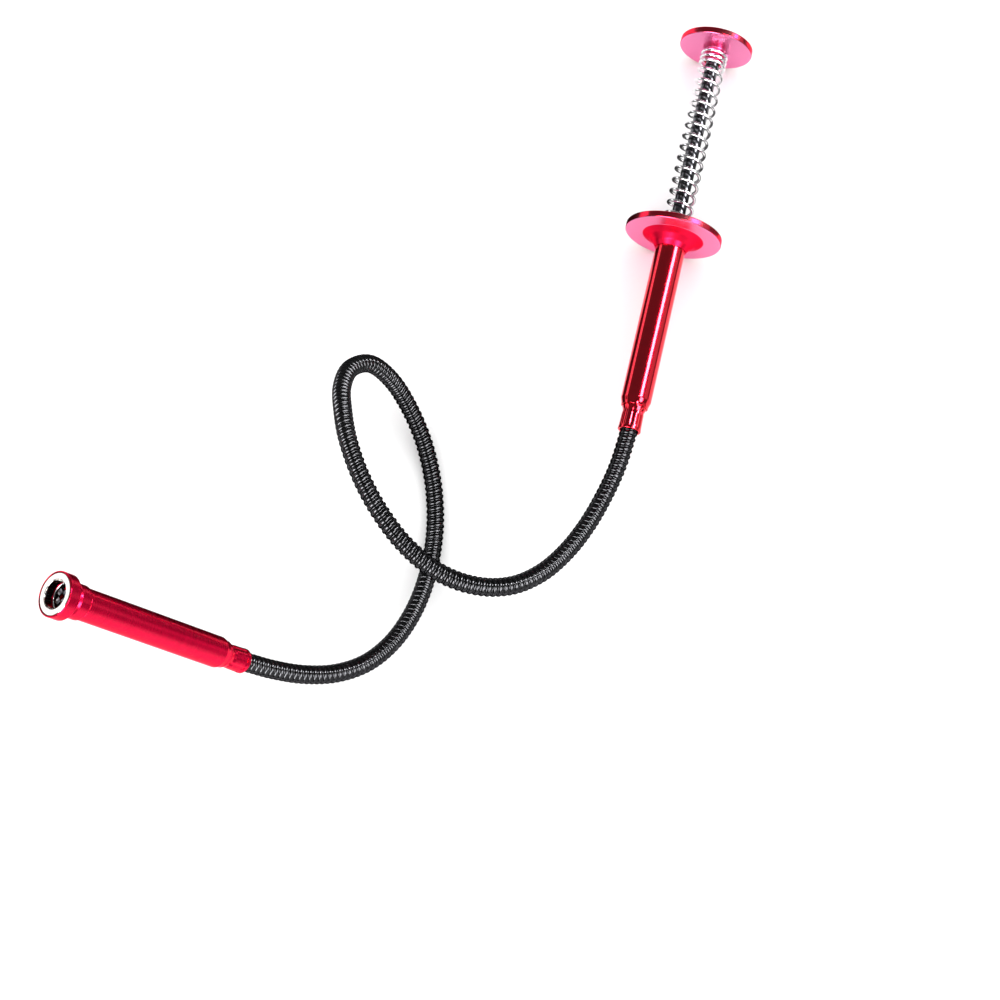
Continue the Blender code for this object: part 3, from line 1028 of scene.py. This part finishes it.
class AUGER_OT_head(bpy.types.Operator):
    """Builds the head's tube and the collar that holds the magnet"""

    bl_idname = "auger.head"
    bl_label = "Head"

    def execute(self, context):
        red = finish_of(context, "head_red")
        radius = context.scene.auger_sizes.head_radius
        outline = (
            *tube_foot(radius),
            (radius, SPIGOT_FOOT, 0.12 * MM),
            (SPIGOT_R, SPIGOT_FOOT, 0),
            (SPIGOT_R, HEAD_TUBE_TOP, 0),
            (TUBE_BORE_R, HEAD_TUBE_TOP, 0),
        )
        piece = turned("head_barrel", outline, HEAD, red)
        fit(piece, "root", "red_anodised", "head_tube")

        socket = SPIGOT_R + 0.1 * MM
        back = SPIGOT_FOOT + GAP
        outline = (
            (socket, back, 0),
            (STEP_R, back, 0.3 * MM),
            (STEP_R, GROOVE_FROM - 1.2 * MM, 0.15 * MM),
            (GROOVE_R, GROOVE_FROM, 0.12 * MM),
            (GROOVE_R, COLLAR_BACK - 0.2 * MM, 0.15 * MM),
            (COLLAR_R, COLLAR_BACK, 0.3 * MM),
            (COLLAR_R, FACE, 0.3 * MM),
            (POCKET_R, FACE, 0.08 * MM),
            (POCKET_R, POCKET_FLOOR, 0),
            (COLLAR_BORE_R, POCKET_FLOOR, 0),
            (COLLAR_BORE_R, HEAD_TUBE_TOP + GAP, 0),
            (socket, HEAD_TUBE_TOP + GAP, 0),
        )
        piece = turned("magnet_housing", outline, HEAD, red)
        fit(piece, "root", "red_anodised", "head_collar")
        return {"FINISHED"}


class AUGER_OT_mouth(bpy.types.Operator):
    """Builds the ring magnet and the steel washer behind it"""

    bl_idname = "auger.mouth"
    bl_label = "Mouth"

    def execute(self, context):
        face = FACE - 0.1 * MM
        outline = (
            (MAGNET_BORE_R, POCKET_FLOOR + GAP, 0),
            (MAGNET_R, POCKET_FLOOR + GAP, 0),
            (MAGNET_R, face, 0.2 * MM),
            (MAGNET_BORE_R, face, 0.25 * MM),
        )
        magnet = turned("nickel_magnet", outline, HEAD, finish_of(context, "magnet_nickel"))
        fit(magnet, "root", "magnet_nickel", "magnet_ring")
        outline = (
            (LIP_BORE_R, LIP_FOOT, 0.1 * MM),
            (LIP_R, LIP_FOOT, 0),
            (LIP_R, LIP_TOP, 0),
            (LIP_BORE_R, LIP_TOP, 0.2 * MM),
        )
        washer = turned("bore_washer", outline, HEAD, finish_of(context, "washer_steel"))
        fit(washer, "root", "plain_steel", "bore_lip")
        return {"FINISHED"}


def claw_line():
    """The middle line of a claw in its own plane: the belly, then a bend and the hook."""
    bend_radius, bend_steps = 0.75 * MM, 9
    half = 0.2 * MM
    top = CLAW_TIP - half
    points = []
    steps = 44
    last = top - bend_radius * 1.25
    for step in range(steps + 1):
        height = ROOT_PIVOT + (last - ROOT_PIVOT) * step / steps
        if height < BELLY_AT:
            share = (height - ROOT_PIVOT) / (BELLY_AT - ROOT_PIVOT)
            radius = ROOT_RADIUS + (BELLY_RADIUS - ROOT_RADIUS) * share
        else:
            share = (height - BELLY_AT) / (CLAW_TIP - BELLY_AT)
            radius = BELLY_RADIUS + (TIP_RADIUS - BELLY_RADIUS) * share * share
        points.append(Vector((radius, 0, height)))
    lean = (points[-1] - points[-2]).normalized()
    start = math.atan2(lean.x, lean.z)
    centre = points[-1] + Vector((-math.cos(start), 0, math.sin(start))) * bend_radius
    for step in range(1, bend_steps + 1):
        angle = start - (start + math.pi / 2) * step / bend_steps
        spoke = Vector((math.cos(angle), 0, -math.sin(angle))) * bend_radius
        points.append(centre + spoke)
    end = points[-1]
    hook_steps = 6
    for step in range(1, hook_steps + 1):
        share = step / hook_steps
        points.append(Vector((end.x + (HOOK_INNER - end.x) * share, 0, end.z)))
    return points


def strip_section(width, thickness):
    """The rim of a rolled strip, its corners broken, as (across, up) pairs."""
    x, y = thickness / 2, width / 2
    corner = thickness * 0.22
    return (
        (x, y - corner),
        (x - corner, y),
        (corner - x, y),
        (-x, y - corner),
        (-x, corner - y),
        (corner - x, -y),
        (x - corner, -y),
        (x, corner - y),
    )


def strip_shape(points, section):
    """A strip along points in the local XZ plane, its width along local Y."""
    shape = bmesh.new()
    rings = []
    for i, point in enumerate(points):
        ahead = points[min(i + 1, len(points) - 1)]
        behind = points[max(i - 1, 0)]
        along = (ahead - behind).normalized()
        out = Vector((along.z, 0, -along.x))
        ring = [shape.verts.new(point + out * x + Vector((0, y, 0))) for x, y in section]
        rings.append(ring)
    for first, second in zip(rings, rings[1:]):
        for k in range(len(section)):
            shape.faces.new((first[k - 1], first[k], second[k], second[k - 1]))
    shape.faces.new(rings[0])
    shape.faces.new(rings[-1])
    return shape


class AUGER_OT_claws(bpy.types.Operator):
    """Bends the four claws, each one strip in place of its two lengths"""

    bl_idname = "auger.claws"
    bl_label = "Claws"

    def execute(self, context):
        sizes = context.scene.auger_sizes
        material = finish_of(context, "blued_spring_steel")
        section = strip_section(sizes.strip_width, sizes.strip_thickness)
        bend_reach = 8.0 * MM
        for number in range(1, CLAW_COUNT + 1):
            turn = Matrix.Rotation(FULL_TURN * (number - 0.5) / CLAW_COUNT, 4, "Z")
            shape = strip_shape(claw_line(), section)
            claw = add_piece(f"claw_{number}", shape, HEAD @ turn, material)
            root, tip = f"claw_root_{number}", f"claw_tip_{number}"
            start = HEAD @ Vector((0, 0, JOINT_PIVOT - bend_reach))
            end = HEAD @ Vector((0, 0, JOINT_PIVOT + bend_reach))
            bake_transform(claw)
            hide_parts(root, tip)
        return {"FINISHED"}


class AUGER_OT_inner(bpy.types.Operator):
    """Gives the pieces inside the tubes their finishes"""

    bl_idname = "auger.inner"
    bl_label = "Inner pieces"

    def execute(self, context):
        inner = {
            "guide_bush": "bush_brass",
            "rod_stop": "inner_steel",
            "claw_carrier": "inner_steel",
            "cable_crimp": "inner_steel",
            "drive_cable": "wire_rope",
        }
        for node, name in inner.items():
            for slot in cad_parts[node].material_slots:
                slot.material = finish_of(context, name)
        return {"FINISHED"}


# Stage


def aimed(place, target):
    """A placement at a point, with local -Z towards another."""
    turn = (Vector(target) - Vector(place)).to_track_quat("-Z", "Y")
    return Matrix.Translation(place) @ turn.to_matrix().to_4x4()


def add_lamp(name, placement, size, radiance, mirrored=True, lighting=True):
    """A soft box of so many metres, as bright as radiance all over.

    mirrored lets polished pieces show it, and lighting lets it light the rest.
    """
    lamp = bpy.data.lights.new(name, "AREA")
    lamp.shape = "RECTANGLE"
    lamp.size, lamp.size_y = size
    lamp.energy = radiance * math.pi * size[0] * size[1]
    holder = bpy.data.objects.new(name, lamp)
    holder.matrix_world = placement
    holder.visible_camera = False
    holder.visible_glossy = mirrored
    holder.visible_diffuse = lighting
    bpy.context.scene.collection.objects.link(holder)


def add_card(name, across, along):
    """A black card on the floor, seen only in mirrored light, where it darkens bright metal."""
    shape = bmesh.new()
    corners = [(across[0], along[0]), (across[1], along[0]), (across[1], along[1])]
    corners.append((across[0], along[1]))
    shape.faces.new([shape.verts.new((x, y, CARD_LIFT)) for x, y in corners])
    black = bpy.data.materials.get("card_black") or Finish("card_black").material
    black.node_tree.nodes["Principled BSDF"].inputs["Base Color"].default_value = (0, 0, 0, 1)
    card = add_piece(name, shape, Matrix.Identity(4), black)
    card.visible_camera = False
    card.visible_diffuse = False
    card.visible_shadow = False


class AUGER_OT_stage(bpy.types.Operator):
    """Sets the floor, the studio light and the camera"""

    bl_idname = "auger.stage"
    bl_label = "Stage"

    def execute(self, context):
        scene = context.scene
        half = FLOOR_HALF
        shape = bmesh.new()
        corners = [(-half, -half, 0), (half, -half, 0), (half, half, 0), (-half, half, 0)]
        shape.faces.new([shape.verts.new(corner) for corner in corners])
        floor = add_piece("floor", shape, Matrix.Identity(4), finish_of(context, "floor_paint"))
        add_card("near_card", (-0.1, 0.045), (-0.085, 0.12))
        add_card("far_card", (0.2, 1.6), (-0.05, 0.6))
        add_card("spring_card", (0.045, 0.2), (0.047, 0.085))

        target = (0.02, 0.0, 0.03)
        above = aimed((0.0, 0.0, 1.7), target)
        add_lamp("overhead", above, (5.0, 5.0), 1.9, mirrored=False)
        right = aimed((1.3, 0.35, 0.45), (0.08, 0.1, 0.02))
        add_lamp("right_box", right, (1.6, 0.7), 0.5)
        strip = aimed((0.68, 0.27, 0.85), (0.08, 0.0, 0.02))
        add_lamp("right_strip", strip, (0.17, 1.1), 26.0, lighting=False)
        front = aimed((-0.6, -0.75, 0.75), (0.0, -0.05, 0.03))
        add_lamp("front_left_box", front, (0.85, 0.6), 15.0, lighting=False)
        front = aimed((0.6, -0.6, 0.85), (0.0, -0.05, 0.03))
        add_lamp("front_right_box", front, (0.6, 0.6), 14.0, lighting=False)
        front = aimed((0.1, -1.5, 0.7), (0.0, 0.0, 0.05))
        add_lamp("front_wall", front, (2.4, 1.3), 0.6, lighting=False)
        low = aimed((-1.1, 0.3, 0.15), (0.0, 0.0, 0.1))
        add_lamp("low_left_box", low, (1.4, 0.3), 1.5, lighting=False)

        world = bpy.data.worlds.new("studio")
        world.use_nodes = True
        scene.world = world
        nodes, links = world.node_tree.nodes, world.node_tree.links
        seen = nodes["Background"]
        seen.inputs["Color"].default_value = BACKDROP
        dim = nodes.new("ShaderNodeBackground")
        dim.inputs["Color"].default_value = ROOM_LIGHT
        path = nodes.new("ShaderNodeLightPath")
        mix = nodes.new("ShaderNodeMixShader")
        links.new(path.outputs["Is Camera Ray"], mix.inputs["Fac"])
        links.new(dim.outputs["Background"], mix.inputs[1])
        links.new(seen.outputs["Background"], mix.inputs[2])
        links.new(mix.outputs["Shader"], nodes["World Output"].inputs["Surface"])
        scene.view_settings.view_transform = "Standard"

        lens = bpy.data.cameras.new("studio_camera")
        lens.lens = CAMERA_LENS
        lens.sensor_width = CAMERA_SENSOR
        lens.clip_start, lens.clip_end = 0.01, 20.0
        camera = bpy.data.objects.new("studio_camera", lens)
        right = Vector(CAMERA_RIGHT).normalized()
        back = Vector(CAMERA_BACK).normalized()
        up = back.cross(right).normalized()
        right = up.cross(back)
        turn = Matrix((right, up, back)).transposed().to_4x4()
        camera.matrix_world = Matrix.Translation(CAMERA_PLACE) @ turn
        scene.collection.objects.link(camera)
        scene.camera = camera
        return {"FINISHED"}


OPERATORS = (
    AUGER_OT_stage,
    AUGER_OT_gooseneck,
    AUGER_OT_ferrules,
    AUGER_OT_handle,
    AUGER_OT_plunger,
    AUGER_OT_spring,
    AUGER_OT_head,
    AUGER_OT_mouth,
    AUGER_OT_claws,
    AUGER_OT_inner,
)


class AUGER_PT_panel(bpy.types.Panel):
    """Lists the auger's pieces and their sizes"""

    bl_idname = "AUGER_PT_panel"
    bl_label = "Drain Auger"
    bl_space_type = "VIEW_3D"
    bl_region_type = "UI"
    bl_category = "Auger"

    def draw(self, context):
        layout = self.layout
        for group in (context.scene.auger_sizes, context.scene.auger_colours):
            for key in group.__annotations__:
                layout.prop(group, key)
        for operator in OPERATORS:
            layout.operator(operator.bl_idname)


CLASSES = (AugerSizes, AugerColours, *OPERATORS, AUGER_PT_panel)


def register():
    for item in CLASSES:
        bpy.utils.register_class(item)
    bpy.types.Scene.auger_sizes = bpy.props.PointerProperty(type=AugerSizes)
    bpy.types.Scene.auger_colours = bpy.props.PointerProperty(type=AugerColours)


def unregister():
    del bpy.types.Scene.auger_colours
    del bpy.types.Scene.auger_sizes
    for item in reversed(CLASSES):
        bpy.utils.unregister_class(item)


def main():
    register()
    for operator in OPERATORS:
        group, name = operator.bl_idname.split(".")
        getattr(getattr(bpy.ops, group), name)()


if __name__ == "__main__":
    main()
